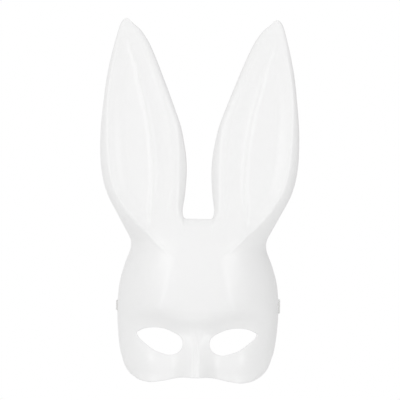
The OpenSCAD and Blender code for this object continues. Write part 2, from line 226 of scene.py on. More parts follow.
def closed_outline(points, steps=12):
    """A closed smooth outline through the points, sharp at the first."""
    p = np.array(points, float)
    n = len(p)
    found = []
    for i in range(n):
        a, b = p[i], p[(i + 1) % n]
        leave = (b - a) if i == 0 else (b - p[i - 1]) / 2
        arrive = (b - a) if i == n - 1 else (p[(i + 2) % n] - a) / 2
        for t in np.arange(steps) / steps:
            u = 1 - t
            found.append(a * (1 + 2 * t) * u * u + b * (1 + 2 * u) * t * t
                         + leave * t * u * u - arrive * u * t * t)
    return np.array(found)


# ---------------------------------------------------------------- the shell's surface
def dome_drop(u):
    """How far a dome of unit size has fallen at u from its middle."""
    return 1 - (1 - u ** DOME_POWER) ** (1 / DOME_POWER)


def nose_rise(x, z):
    """A ridge with a nearly flat top, straight sides and a groove along its lower part."""
    spread = smooth(-4, 9, z)
    top_x = 3.1 + 4 * spread
    foot_x = 19.5 + 2 * spread
    top_turn, foot_turn = 2.4, 12.0
    fall = (knee(x - top_x, top_turn) - knee(x - foot_x, foot_turn)) / (foot_x - top_x)
    groove_depth, groove_spread = 0.9, 1.9
    return (curve(NOSE_HEIGHT, z) * (1 - fall)
            - groove_depth * bump(x, groove_spread) * (1 - smooth(-2, 10, z)))


def face_depth(x, z, row):
    """A dome, flatter in front than an ellipse, with brow, nose, eye hollows and cheeks."""
    edge, rim = curve(OUTER_EDGE, row), curve(RIM_DEPTH, row)
    brow_dip = 7.5 * bump(x, 26) - 2.5
    front = curve(FACE_DEPTH, row + brow_dip * bump(row - 21, 15))
    u = np.minimum(x / edge, 1) * math.sin(DOME_TURN)
    dome = front - (front - rim) * dome_drop(u) / dome_drop(math.sin(DOME_TURN))
    eye_x, eye_z, below_eye = 37, 3, 1 - smooth(-6, 6, z)
    hollow = 4.6 * bump(x - eye_x, 25) * bump(z - eye_z, 13 + 12 * below_eye)
    cheek_x, cheek_z = 46, -13
    cheek = 2.2 * bump(x - cheek_x, 12) * bump(z - cheek_z, 15)
    beside_nose = (1 - smooth(-44, -14, z)) * 4.5 * smooth(5, 25, x)
    towards_rim = (1 - smooth(-42, -10, z)) * 2.5 * smooth(40, 68, x)
    return dome + nose_rise(x, z) - hollow + cheek - (beside_nose + towards_rim)


def ear_depth(x, z, row):
    """A plate whose two edges roll back."""
    edge, rim, plate = curve(OUTER_EDGE, row), curve(RIM_DEPTH, row), curve(EAR_DEPTH, row)
    outer, inner = curve(OUTER_CREST, row), curve(INNER_CREST, row)
    out = clamp01((x - outer) / np.maximum(edge - outer, 1))
    back = clamp01((inner - x) / np.maximum(inner - curve(INNER_EDGE, row), 1))
    return plate - (plate - rim) * rolled(out) - curve(EDGE_ROLL, row) * rolled(back)


def relief(x, z, row):
    """Crests, middle ridge, basin and valley of the ear, and the brow line down from it."""
    outer, inner, mid = curve(OUTER_CREST, row), curve(INNER_CREST, row), curve(MID_RIDGE, row)
    deepest = np.maximum(outer - 14, mid + 6)
    basin = smooth(mid - 6, deepest, x) * (1 - smooth(deepest - 3, deepest + 12, x))
    inner_crest = 0.5 * smooth(108, 135, row) * bump(x - inner, INNER_CREST_SPREAD)
    brow_rise = (1.7 - 0.8 * smooth(32, 64, z)) * smooth(20, 32, z) * (1 - smooth(74, 96, z))
    return (curve(CREST_RISE, row) * (bump(x - outer, OUTER_CREST_SPREAD) + inner_crest)
            + curve(RIDGE_RISE, row) * bump(x - mid, MID_RIDGE_SPREAD)
            - curve(BASIN_DEPTH, row) * basin
            - curve(VALLEY_DEPTH, row) * bump(x - (inner + mid) / 2, VALLEY_SPREAD)
            + brow_rise * bump(x - curve(BROW_LINE, z), BROW_LINE_SPREAD))


def notch_edge(x):
    """Height of the gap's lower edge at half width x."""
    d = np.clip(x - NOTCH_X + NOTCH_R, 0, NOTCH_R)
    return NOTCH_TOP - np.sqrt(NOTCH_R * NOTCH_R - d * d)


def notch_roll(x, z):
    """How far the edge between the ears turns back."""
    depth, height, below = 3.4, 6, 4.5
    return depth * rolled(clamp01((z - NOTCH_Z + below) / height)) * (1 - smooth(12, 22, x))


def surface(x, row):
    """Points of the outer face at half width x in the row that starts at that height."""
    low = (1 - smooth(ROW_LOW, -14, row)) * (curve(BOTTOM_EDGE, x) - ROW_LOW + LIP)
    squeeze = (NOTCH_TOP - notch_edge(x)) * smooth(100, NOTCH_TOP, row) * (row <= NOTCH_TOP)
    z = row + low - np.where(x < NOTCH_X, squeeze, 0)
    ear = smooth(88, 132, z)
    roll = notch_roll(x, z)
    depth = (1 - ear) * face_depth(x, z, row) + ear * ear_depth(x, z, row) + relief(x, z, row) - roll
    return np.stack([x, -depth, z], -1)


def column_x(share, row):
    """Half width of the column at that share of the way from the middle to the rim."""
    first = np.where(row > NOTCH_TOP, curve(INNER_EDGE, row), NOTCH_X)
    k = clamp01((share - NOTCH_SHARE) / (1 - NOTCH_SHARE))
    ear = smooth(100, 140, row)
    spread = (1 - ear) * np.sin(math.pi / 2 * k) + ear * (k + 0.5 - 0.5 * np.cos(math.pi * k)) / 2
    inside = first * share / NOTCH_SHARE
    return np.where(share <= NOTCH_SHARE, inside, first + (curve(OUTER_EDGE, row) - first) * spread)


# ---------------------------------------------------------------- the shell's mesh
class HalfSheet:
    """The outer face for x from 0 up: grid cells, with a ring of cells round each opening."""

    def __init__(self, columns_in, columns_out, face_rows, ear_rows):
        self.columns_in = columns_in
        shares = np.concatenate([np.linspace(0, NOTCH_SHARE, columns_in + 1),
                                 np.linspace(NOTCH_SHARE, 1, columns_out + 1)[1:]])
        face = np.linspace(ROW_LOW, NOTCH_TOP, face_rows)
        closer_to_tip = 1.2
        ears = ROW_TOP - (ROW_TOP - NOTCH_TOP) * np.linspace(1, 0, ear_rows)[1:] ** closer_to_tip
        self.rows = np.concatenate([face, ears])
        self.notch_row = face_rows - 1
        share, row = np.meshgrid(shares, self.rows)
        self.share, self.row = share, row
        self.grid = surface(column_x(share, row), row)
        self.skip = np.zeros((len(self.rows) - 1, len(shares) - 1), bool)
        self.skip[self.notch_row:, :columns_in] = True
        self.points = list(self.grid.reshape(-1, 3))
        self.faces = []

    def index(self, i, j):
        return i * self.grid.shape[1] + j

    def block(self, inside):
        """Corner indices of the smallest block of cells that holds the grid points inside."""
        i, j = np.nonzero(inside)
        return i.min(), i.max(), j.min(), j.max()

    def opening(self, corners, across, edge_of, surface_of, rings):
        """Cuts a hole in a block of cells. across holds each grid point's first coordinate, its row
        is the second. edge_of gives the hole's edge in those, for each point of the block's own
        edge and its place on a square, and surface_of turns what lies between into points."""
        i0, i1, j0, j1 = corners
        self.skip[i0:i1, j0:j1] = True
        ring = ([(i0, j) for j in range(j0, j1)] + [(i, j1) for i in range(i0, i1)]
                + [(i1, j) for j in range(j1, j0, -1)] + [(i, j0) for i in range(i1, i0, -1)])
        outer = [self.index(i, j) for i, j in ring]
        far = np.array([(across[i, j], self.row[i, j]) for i, j in ring])
        square = np.array([((2 * j - j0 - j1) / (j1 - j0), (2 * i - i0 - i1) / (i1 - i0))
                           for i, j in ring])
        near = edge_of(np.array([self.grid[i, j] for i, j in ring]), square)
        before = outer
        for k in range(1, rings + 1):
            t = (k / rings) ** 0.8    # closer together towards the hole
            start = len(self.points)
            between = far * (1 - t) + near * t
            self.points += list(surface_of(between[:, 0], between[:, 1]))
            now = list(range(start, start + len(ring)))
            for n in range(len(ring)):
                m = (n + 1) % len(ring)
                self.faces.append((before[n], before[m], now[m], now[n]))
            before = now

    def close(self):
        """Adds the grid cells that no opening has taken."""
        for i, j in zip(*np.nonzero(~self.skip)):
            self.faces.append((self.index(i, j), self.index(i, j + 1),
                               self.index(i + 1, j + 1), self.index(i + 1, j)))


def mirrored(points, faces):
    """Both halves as one sheet, joined along x = 0 and without unused points."""
    points = np.array(points)
    count = len(points)
    middle = np.abs(points[:, 0]) < 1e-9
    other = np.arange(count) + count
    other[middle] = np.nonzero(middle)[0]
    both = np.concatenate([points, points * (-1, 1, 1)])
    faces = faces + [tuple(other[i] for i in reversed(f)) for f in faces]
    used = np.unique([i for f in faces for i in f])
    place = np.full(len(both), -1)
    place[used] = np.arange(len(used))
    return both[used], [tuple(int(place[i]) for i in f) for f in faces]


def corner_normals(points, faces):
    """Area-weighted normal of each point."""
    quads = np.array(faces)
    a, b, c, d = (points[quads[:, k]] for k in range(4))
    flat = np.cross(c - a, d - b)
    normals = np.zeros_like(points)
    for k in range(4):
        np.add.at(normals, quads[:, k], flat)
    return normals / np.linalg.norm(normals, axis=1, keepdims=True)


def thickened(points, faces, wall, lip, steps=4):
    """A closed shell behind the sheet, with a rounded edge along every border."""
    normals = corner_normals(points, faces)
    inner = points - wall * normals
    count = len(points)
    solid = [tuple(f) for f in faces] + [tuple(i + count for i in reversed(f)) for f in faces]
    edges = dict.fromkeys((a, b) for f in faces for a, b in zip(f, f[1:] + f[:1]))
    border = [(a, b) for a, b in edges if (b, a) not in edges]
    outward = {}
    for a, b in border:
        away = np.cross(points[b] - points[a], normals[a] + normals[b])
        for i in (a, b):
            outward[i] = outward.get(i, 0) + away / max(np.linalg.norm(away), 1e-9)
    all_points = [points, inner]
    strips = {}
    total = 2 * count
    for i, away in outward.items():
        away = away - normals[i] * np.dot(away, normals[i])
        away /= max(np.linalg.norm(away), 1e-9)
        middle, half = (points[i] + inner[i]) / 2, (points[i] - inner[i]) / 2
        turns = np.pi * np.arange(1, steps) / steps
        added = [middle + half * math.cos(t) + away * lip * math.sin(t) for t in turns]
        strips[i] = [i] + list(range(total, total + len(added))) + [i + count]
        total += len(added)
        all_points.append(np.array(added))
    for a, b in border:
        for k in range(steps):
            solid.append((strips[b][k], strips[a][k], strips[a][k + 1], strips[b][k + 1]))
    return np.concatenate(all_points), solid


def angle_of(offset, radii):
    """Direction of each offset, in a plane scaled so that an ellipse of those radii is round."""
    return np.arctan2(offset[:, 1] / radii[1], offset[:, 0] / radii[0])


def eye_edge(points, square):
    """For each point of a block round the eye, the point of the eye's edge in the same direction.
    The points' place on a square isn't needed here."""
    radii = (24.0, 14.0)
    middle = np.array(EYE_MIDDLE)
    outline = closed_outline(EYE)
    away = outline - middle
    outline = outline + LIP * away / np.linalg.norm(away, axis=1, keepdims=True)
    turn = angle_of(outline - middle, radii)
    order = np.argsort(turn)
    reach = np.hypot((outline[:, 0] - middle[0]) / radii[0], (outline[:, 1] - middle[1]) / radii[1])
    wanted = angle_of(points[:, [0, 2]] - middle, radii)
    corner = turn[0]
    wanted[np.argmin(np.abs(wanted - corner))] = corner
    found = np.interp(wanted, turn[order], reach[order], period=2 * math.pi)
    return np.stack([middle[0] + found * radii[0] * np.cos(wanted),
                     middle[1] + found * radii[1] * np.sin(wanted)], -1)


def slot_edge(points, square):
    """The same for a strap slot, a rounded upright rectangle seen from the side. It goes by the
    points' place on a square, and its answer is in shares of a row, not in half widths."""
    corners = 9                 # 2 is an ellipse, more is nearer a rectangle
    reach = np.sum(np.abs(square) ** corners, axis=1) ** (-1 / corners)
    y = SLOT_Y + reach * (SLOT[0] + LIP) * square[:, 0]
    z = SLOT_Z + reach * (SLOT[1] + LIP) * square[:, 1]
    shares = np.linspace(0.6, 1, 400)
    found = []
    for one_y, one_z in zip(y, z):
        row = np.full_like(shares, one_z)
        line = surface(column_x(shares, row), row)
        found.append((np.interp(one_y, line[:, 1], shares), one_z))
    return np.array(found)


def make_shell():
    """The moulded shell, face and ears in one."""
    sheet = HalfSheet(columns_in=24, columns_out=60, face_rows=108, ear_rows=104)
    x, y, z = (sheet.grid[..., k] for k in range(3))
    eye = sheet.block((x > 9) & (x < 66) & (z > -19) & (z < 19))
    sheet.opening(eye, x, eye_edge, surface, rings=9)
    slot = sheet.block((y > SLOT_Y - 5) & (y < RIM_Y - 1.5) & (np.abs(z - SLOT_Z) < 9))
    sheet.opening(slot, sheet.share, slot_edge, lambda share, row: surface(column_x(share, row), row),
                  rings=3)
    sheet.close()
    points, faces = mirrored(sheet.points, sheet.faces)
    points, faces = thickened(points, faces, WALL, LIP)
    return mesh_piece("moulded_shell", points, faces)


# ---------------------------------------------------------------- the foam pads
def face_point(x, z):
    """Point of the shell's outer face at half width x and height z."""
    row = z
    for _ in range(12):
        row = row + z - surface(x, row)[..., 2]
    return surface(x, row)


def behind(x, z, depth):
    """Point that far behind the shell's inner side."""
    half, step = np.abs(x), 0.4
    point = face_point(half, z)
    normal = np.cross(face_point(half + step, z) - point, face_point(half, z + step) - point)
    normal /= np.linalg.norm(normal, axis=-1, keepdims=True)
    return (point - (WALL + depth[..., None]) * normal) * np.stack(
        [np.where(x < 0, -1, 1), np.ones_like(x), np.ones_like(x)], -1)


def make_pad(name, middle, length, height, tilt):
    """A strip of foam with round ends, die cut, its front edge rounded over by the skin it was
    cut with, lying against the shell's inner side."""
    rings, steps = 14, 160
    gap = 0.15                  # between foam and shell, for the glue
    round_over, edge_drop = 2.4, 1.5
    crown = 0.9
    straight = length - height
    total = 2 * straight + math.pi * height
    along = np.arange(steps) / steps * total
    outline = []
    for s in along:
        if s < straight:
            outline.append((s - straight / 2, -height / 2))
        elif s < straight + math.pi * height / 2:
            turn = (s - straight) / (height / 2) - math.pi / 2
            outline.append((straight / 2 + height / 2 * math.cos(turn), height / 2 * math.sin(turn)))
        elif s < 2 * straight + math.pi * height / 2:
            outline.append((straight / 2 - (s - straight - math.pi * height / 2), height / 2))
        else:
            turn = (s - 2 * straight - math.pi * height / 2) / (height / 2) + math.pi / 2
            outline.append((-straight / 2 + height / 2 * math.cos(turn), height / 2 * math.sin(turn)))
    outline = np.array(outline)
    spine = np.stack([np.clip(outline[:, 0], -straight / 2, straight / 2), np.zeros(steps)], -1)
    shares = 1 - (1 - np.linspace(0, 1, rings)) ** 1.8      # closer together towards the edge
    points, faces = [], []
    for side in (0, 1):
        for k, share in enumerate(shares):
            flat = spine + (outline - spine) * share
            edge = (1 - share) * height / 2
            turned = clamp01(edge / round_over)
            top = (PAD_T - crown + crown * (1 - share ** 2)
                   - edge_drop * (1 - np.sqrt(1 - (1 - turned) ** 2)))
            depth = np.full(steps, gap + (top if side else 0.0))
            c, s = math.cos(tilt), math.sin(tilt)
            x = middle[0] + flat[:, 0] * c - flat[:, 1] * s
            z = middle[1] + flat[:, 0] * s + flat[:, 1] * c
            points.append(behind(x, z, depth))
    points = np.concatenate(points)
    for side in (0, 1):
        for k in range(rings - 1):
            a = (side * rings + k) * steps
            for n in range(steps):
                m = (n + 1) % steps
                quad = (a + n, a + m, a + steps + m, a + steps + n)
                faces.append(quad if side else quad[::-1])
    low, high = (rings - 1) * steps, (2 * rings - 1) * steps
    for n in range(steps):
        m = (n + 1) % steps
        faces.append((low + n, low + m, high + m, high + n))
    piece = mesh_piece(name, points, faces)
    weld(piece, 0.02)
    return piece


# ---------------------------------------------------------------- the strap
def arc(centre, radii, start, end, count):
    """Points of an elliptical arc between two angles in degrees."""
    turns = np.radians(np.linspace(start, end, count))
    return np.stack([centre[0] + radii[0] * np.cos(turns), centre[1] + radii[1] * np.sin(turns)], -1)


def eased(start, end, count=12):
    """A run backwards that shifts sideways smoothly."""
    t = np.linspace(0, 1, count)
    return np.stack([start[0] + (end[0] - start[0]) * t * t * (3 - 2 * t),
                     start[1] + (end[1] - start[1]) * t], -1)


def strap_path():
    """Middle line of the webbing seen from above: hem, return layer, slot, round the head, slot,
    and the lap sewn down on the other side."""
    inner, outer = RIM_X - WALL - CLEAR - WEB_T / 2, RIM_X + CLEAR + WEB_T / 2
    turn = (outer - inner) / 2
    front = RIM_Y - LAND - CLEAR - WEB_T / 2 + turn
    hem = HEM_TURN * WEB_T
    tail_end = tail_high.y - WEB_T / 2 - hem
    wrap = np.concatenate([eased((LAP_X, BEND[1] - 1), (inner, BEND[0])),
                           arc(((inner + outer) / 2, front), (turn, turn), 180, 360, 17),
                           eased((outer, BEND[0] + 0.5), (RUN_X, BEND[1]))])
    fold = np.concatenate([[(LAP_X - 2 * hem, tail_end - HEM_LENGTH)],
                           arc((LAP_X - hem, tail_end), (hem, hem), 180, 0, 11)])
    back = arc((0, RUN_END), (RUN_X, strap_high.y - RUN_END - WEB_T / 2), 0, 180, 121)
    lap = [(-LAP_X, lap_high.y)]
    return spaced(np.concatenate([fold, wrap, back, wrap[::-1] * (-1, 1), lap]), 2.0)


def spaced(path, longest):
    """The same line with no step longer than that."""
    found = [path[0]]
    for a, b in zip(path, path[1:]):
        count = max(1, math.ceil(np.linalg.norm(b - a) / longest))
        found += [a + (b - a) * k / count for k in range(1, count + 1)]
    return np.array(found)


def web_section():
    """The webbing's cross section, ribbed on both faces: (across, out) and the distance round it."""
    samples = 6                 # steps across each rib
    groove = 0.10               # depth between two ribs
    half = WEB_W / 2 - WEB_EDGE
    across = np.linspace(-half, half, WEB_RIBS * samples + 1)
    out = WEB_T / 2 - groove * np.cos(math.pi * np.linspace(0, WEB_RIBS, len(across))) ** 2
    turns = np.radians(np.linspace(90, -90, 7))[1:-1]
    side = np.stack([half + WEB_EDGE * np.cos(turns), out[-1] * np.sin(turns)], -1)
    face = np.stack([across, out], -1)
    ring = np.concatenate([face, side, -face, -side])
    steps = np.linalg.norm(np.diff(np.concatenate([ring, ring[:1]]), axis=0), axis=1)
    return ring, np.concatenate([[0], np.cumsum(steps)])


def make_webbing():
    """One length of ribbed elastic webbing. Its map holds the distance along it and round it, in mm."""
    path = strap_path()
    tangent = np.gradient(path, axis=0)
    tangent /= np.linalg.norm(tangent, axis=1, keepdims=True)
    normal = np.stack([tangent[:, 1], -tangent[:, 0]], -1)
    along = np.concatenate([[0], np.cumsum(np.linalg.norm(np.diff(path, axis=0), axis=1))])
    ring, round_it = web_section()
    n = len(ring)
    points = []
    for place, out in zip(path, normal):
        flat = place + ring[:, 1:] * out
        points.append(np.column_stack([flat, SLOT_Z + ring[:, 0]]))
    faces, marks = [], []
    for i in range(len(path) - 1):
        for j in range(n):
            k = (j + 1) % n
            faces.append((i * n + j, (i + 1) * n + j, (i + 1) * n + k, i * n + k))
            marks += [(along[i], round_it[j]), (along[i + 1], round_it[j]),
                      (along[i + 1], round_it[j + 1]), (along[i], round_it[j + 1])]
    for i, order in ((0, range(n)), (len(path) - 1, range(n - 1, -1, -1))):
        faces.append(tuple(i * n + j for j in order))
        marks += [(along[i], round_it[j]) for j in order]
    piece = mesh_piece("webbing", np.concatenate(points), faces)
    layer = piece.data.uv_layers.new(name="weave")
    layer.data.foreach_set("uv", np.array(marks, np.float32).ravel())
    return piece


# ---------------------------------------------------------------- thread and slider
def stitched(name, stitches):
    """Threads that arch from one needle hole to the next. Each stitch is (start, end, outward)."""
    radius, sides, steps = 0.17, 8, 7
    arch, sunk = 0.16, 0.05     # rise of a thread's middle, and depth of its ends in the webbing
    points, faces = [], []
    for start, end, out in stitches:
        start, end, out = np.array(start, float), np.array(end, float), np.array(out, float)
        run = (end - start) / np.linalg.norm(end - start)
        side = np.cross(run, out)
        first = len(points)
        for t in np.linspace(0, 1, steps):
            middle = start + (end - start) * t + out * (arch * math.sin(math.pi * t) ** 0.5 - sunk)
            thin = radius * (0.55 + 0.45 * math.sin(math.pi * t) ** 0.4)
            for turn in np.arange(sides) * 2 * math.pi / sides:
                points.append(middle + thin * (math.cos(turn) * out + math.sin(turn) * side))
        for i in range(steps - 1):
            for j in range(sides):
                k = (j + 1) % sides
                a = first + i * sides
                faces.append((a + j, a + k, a + sides + k, a + sides + j))
        faces.append(tuple(first + j for j in range(sides - 1, -1, -1)))
        faces.append(tuple(first + (steps - 1) * sides + j for j in range(sides)))
    return mesh_piece(name, points, faces)


def make_lap_tack():
    """A dense zigzag through both layers, seen on either face of the lap."""
    count = 15
    stitches = []
    y0, y1 = tack_low.y + 0.25, tack_high.y - 0.25
    heights = np.linspace(tack_low.z + 0.2, tack_high.z - 0.2, count + 1)
    for x, out in ((-RUN_X - WEB_T / 2, -1), (-LAP_X + WEB_T / 2, 1)):
        for k in range(count):
            ends = (y0, y1) if k % 2 == 0 else (y1, y0)
            stitches.append(((x, ends[0], heights[k]), (x, ends[1], heights[k + 1]), (out, 0, 0)))
    return stitched("lap_stitching", stitches)


def make_tail_tack():
    """Two rows of straight stitches across the hem."""
    x = LAP_X - 2 * HEM_TURN * WEB_T - WEB_T / 2
    length, pause = 1.25, 0.2
    stitches = []
    for y in (stitch_low.y + 0.3, stitch_high.y - 0.3):
        z = stitch_low.z
        while z + length <= stitch_high.z + 0.01:
            stitches.append(((x, y, z), (x, y, z + length), (-1, 0, 0)))
            z += length + pause
    return stitched("hem_stitching", stitches)


def soft_bar(section, low, high, edge):
    """A prism along z over a closed outline, its two ends rounded over by the radius edge."""
    steps = 4
    section = np.array(section)
    middle = section.mean(0)
    away = section - middle
    length = np.linalg.norm(away, axis=1, keepdims=True)
    levels = []
    for t in np.linspace(0, math.pi / 2, steps + 1):
        levels.append((low + edge * (1 - math.sin(t)), edge * (1 - math.cos(t))))
    levels = levels[::-1] + [(low + high - z, inset) for z, inset in levels]
    points, faces, n = [], [], len(section)
    for z, inset in levels:
        flat = middle + away * (1 - inset / length)
        points += [(p[0], p[1], z) for p in flat]
    for i in range(len(levels) - 1):
        for j in range(n):
            k = (j + 1) % n
            faces.append((i * n + j, i * n + k, (i + 1) * n + k, (i + 1) * n + j))
    faces.append(tuple(range(n - 1, -1, -1)))
    faces.append(tuple((len(levels) - 1) * n + j for j in range(n)))
    return points, faces


def rounded_outline(x0, x1, y0, y1, r):
    """A rectangle with round corners."""
    steps = 6
    found = []
    for cx, cy, start in ((x1 - r, y0 + r, -90), (x1 - r, y1 - r, 0), (x0 + r, y1 - r, 90),
                          (x0 + r, y0 + r, 180)):
        found += [(cx + r * math.cos(t), cy + r * math.sin(t))
                  for t in np.radians(np.linspace(start, start + 90, steps + 1))]
    return found


def make_slider():
    """A ladder adjuster: two rails, a middle bar inside the webbing and two end bars outside it."""
    bar, rail, sunk = 1.4, 1.8, 0.7      # thickness of each, and how deep the bars end in the rails
    rail_corner, rail_edge = 1.8, 0.5
    bar_corner, bar_edge = 0.55, 0.2
    near, far = 1, 3.2                   # where an end bar lies, from the slider's end
    half = 1.3                           # half the middle bar's length
    x0, x1, y0, y1 = slider_low.x, slider_high.x, slider_low.y, slider_high.y
    z0, z1 = slider_low.z, slider_high.z
    middle = (y0 + y1) / 2
    side = rounded_outline(x0, x1, y0, y1, rail_corner)
    parts = [soft_bar(side, z0, z0 + rail, rail_edge), soft_bar(side, z1 - rail, z1, rail_edge)]
    for a, b, start, end in ((x0, x0 + bar, middle - half, middle + half),
                             (x1 - bar, x1, y0 + near, y0 + far),
                             (x1 - bar, x1, y1 - far, y1 - near)):
        parts.append(soft_bar(rounded_outline(a, b, start, end, bar_corner), z0 + sunk, z1 - sunk,
                              bar_edge))
    pieces = [mesh_piece("slider_part", *part) for part in parts]
    return united("slider_body", pieces)


# ---------------------------------------------------------------- mesh helpers
def united(name, pieces):
    """The pieces joined into one solid."""
    first = pieces[0]
    for other in pieces[1:]:
        join = first.modifiers.new("join", "BOOLEAN")
        join.operation = "UNION"
        join.solver = "EXACT"
        join.object = other
    graph = bpy.context.evaluated_depsgraph_get()
    data = bpy.data.meshes.new_from_object(first.evaluated_get(graph))
    first.modifiers.clear()
    first.data = data
    for other in pieces[1:]:
        bpy.data.objects.remove(other)
    first.name = data.name = name
    shade_smooth(data)
    data.set_sharp_from_angle(angle=math.radians(40))
    return first


def weld(piece, distance):
    """Joins points that lie closer together than that, in millimetres."""
    work = bmesh.new()
    work.from_mesh(piece.data)
    bmesh.ops.remove_doubles(work, verts=work.verts, dist=distance * MM)
    work.to_mesh(piece.data)
    work.free()


def outward(points, faces):
    """The faces of a closed solid, turned over if they face inwards."""
    quads = np.array([f for f in faces if len(f) == 4])
    a, b, c, d = (points[quads[:, k]] for k in range(4))
    volume = np.sum((a - points[0]) * (np.cross(b - a, c - a) + np.cross(c - a, d - a)))
    return faces if volume > 0 else [tuple(reversed(f)) for f in faces]


def shade_smooth(data):
    data.polygons.foreach_set("use_smooth", [True] * len(data.polygons))


def mesh_piece(name, points, faces):
    """A smooth-shaded object from points in millimetres. The faces enclose a solid."""
    data = bpy.data.meshes.new(name)
    points = np.asarray(points, float)
    data.from_pydata([tuple(p) for p in points * MM], [], outward(points, faces))
    data.validate()
    data.update()
    shade_smooth(data)
    piece = bpy.data.objects.new(name, data)
    bpy.context.scene.collection.objects.link(piece)
    return piece


# ---------------------------------------------------------------- materials
class Nodes:
    """A material's node tree, with a short way to add and link nodes."""

    def __init__(self, name):
        self.material = bpy.data.materials.new(name)
        self.material.use_nodes = True
        self.tree = self.material.node_tree
        self.shader = self.tree.nodes["Principled BSDF"]

    def add(self, kind, inputs=(), **settings):
        """A new shader node, with its inputs and settings given by name."""
        node = self.tree.nodes.new("ShaderNode" + kind)
        for key, value in settings.items():
            setattr(node, key, value)
        for key, value in dict(inputs).items():
            self.put(node.inputs[key], value)
        return node

    def put(self, socket, value):
        """Links the socket to another node's output, or gives it a plain value."""
        if isinstance(value, bpy.types.NodeSocket):
            self.tree.links.new(value, socket)
        else:
            socket.default_value = value

    def math(self, operation, *values):
        """The output of a math node."""
        node = self.tree.nodes.new("ShaderNodeMath")
        node.operation = operation
        for socket, value in zip(node.inputs, values):
            self.put(socket, value)
        return node.outputs["Value"]

    def set(self, **values):
        """Sets or links the shader's own inputs."""
        for key, value in values.items():
            self.put(self.shader.inputs[key.replace("_", " ")], value)


def shell_plastic():
    """White moulded plastic: satin gloss, a faint orange peel, and slightly uneven polish."""
    n = Nodes("white_plastic")
    place = n.add("TexCoord").outputs["Object"]
    broad = n.add("TexNoise", {"Vector": place, "Scale": 60.0, "Detail": 6.0, "Roughness": 0.65})
    fine = n.add("TexNoise", {"Vector": place, "Scale": 900.0, "Detail": 3.0, "Roughness": 0.6})
    polish = n.add("MapRange", {"Value": broad.outputs["Fac"], "To Min": 0.26, "To Max": 0.36})
    tint = n.add("MixRGB", {"Fac": broad.outputs["Fac"], "Color1": (0.790, 0.790, 0.788, 1),
                            "Color2": (0.810, 0.810, 0.810, 1)})
    peel = n.add("Bump", {"Height": fine.outputs["Fac"], "Strength": 0.10, "Distance": 0.00008})
    n.set(Base_Color=tint.outputs["Color"], Roughness=polish.outputs["Result"],
          Normal=peel.outputs["Normal"], IOR=1.5)
    return n.material


def elastic_webbing():
    """Woven elastic: crosswise picks that step by half from one rib to the next, with painted shade in
    the grooves between them.
    """
    n = Nodes("elastic_webbing")
    rib, pick = (WEB_W - 2 * WEB_EDGE) / WEB_RIBS, 0.85
    place = n.add("SeparateXYZ", {"Vector": n.add("UVMap", uv_map="weave").outputs["UV"]})
    along, across = place.outputs["X"], place.outputs["Y"]
    row = n.math("FLOOR", n.math("DIVIDE", across, rib))
    turn = n.math("MULTIPLY", n.math("ADD", n.math("DIVIDE", along, pick),
                                     n.math("MULTIPLY", row, 0.5)), 2 * math.pi)
    thread = n.math("MULTIPLY_ADD", n.math("SINE", turn), 0.5, 0.5)
    object_place = n.add("TexCoord").outputs["Object"]
    fuzz = n.add("TexNoise", {"Vector": object_place, "Scale": 3500.0, "Detail": 3.0})
    worn = n.add("TexNoise", {"Vector": object_place, "Scale": 40.0, "Detail": 2.0})
    height = n.math("ADD", thread, n.math("MULTIPLY", fuzz.outputs["Fac"], 0.35))
    # Painted shade: the colour darkens where the picks' bump height is low, in the grooves between
    # picks, plus a broad random tone.
    tint = n.add("MixRGB", {"Fac": n.math("MULTIPLY_ADD", worn.outputs["Fac"], 0.3,
                                          n.math("MULTIPLY", thread, 0.7)),
                            "Color1": (0.58, 0.58, 0.57, 1), "Color2": (0.82, 0.82, 0.81, 1)})
    bump = n.add("Bump", {"Height": height, "Strength": 0.7, "Distance": 0.00012})
    rough = n.add("MapRange", {"Value": fuzz.outputs["Fac"], "To Min": 0.62, "To Max": 0.86})
    n.set(Base_Color=tint.outputs["Color"], Roughness=rough.outputs["Result"],
          Normal=bump.outputs["Normal"], Sheen_Weight=0.25, Sheen_Roughness=0.5)
    return n.material


def sewing_thread():
    """Polyester thread with a fine twist, and painted shade in the twist's grooves."""
    n = Nodes("sewing_thread")
    place = n.add("TexCoord").outputs["Object"]
    twist = n.add("TexWave", {"Vector": place, "Scale": 900.0, "Distortion": 1.5, "Detail": 2.0},
                  bands_direction="DIAGONAL")
    # Painted shade: the colour follows the twist's bump height, darker in its grooves.
    tint = n.add("MixRGB", {"Fac": twist.outputs["Fac"], "Color1": (0.70, 0.70, 0.69, 1),
                            "Color2": (0.88, 0.88, 0.87, 1)})
    bump = n.add("Bump", {"Height": twist.outputs["Fac"], "Strength": 0.5, "Distance": 0.00005})
    rough = n.add("MapRange", {"Value": twist.outputs["Fac"], "To Min": 0.5, "To Max": 0.7})
    n.set(Base_Color=tint.outputs["Color"], Roughness=rough.outputs["Result"],
          Normal=bump.outputs["Normal"], Sheen_Weight=0.2)
    return n.material


def closed_cell_foam():
    """Matt foam: fine cells, a slightly uneven skin and a soft sheen."""
    n = Nodes("closed_cell_foam")
    place = n.add("TexCoord").outputs["Object"]
    cells = n.add("TexVoronoi", {"Vector": place, "Scale": 1500.0}, feature="F1")
    skin = n.add("TexNoise", {"Vector": place, "Scale": 160.0, "Detail": 4.0})
    tint = n.add("MixRGB", {"Fac": skin.outputs["Fac"], "Color1": (0.60, 0.60, 0.59, 1),
                            "Color2": (0.68, 0.68, 0.67, 1)})
    soft = n.add("Bump", {"Height": skin.outputs["Fac"], "Strength": 0.4, "Distance": 0.0004})
    bump = n.add("Bump", {"Height": cells.outputs["Distance"], "Strength": 0.6,
                          "Distance": 0.00018, "Normal": soft.outputs["Normal"]})
    rough = n.add("MapRange", {"Value": cells.outputs["Distance"], "To Min": 0.8, "To Max": 0.95})
    n.set(Base_Color=tint.outputs["Color"], Roughness=rough.outputs["Result"],
          Normal=bump.outputs["Normal"], Sheen_Weight=0.15, Specular_IOR_Level=0.3)
    return n.material


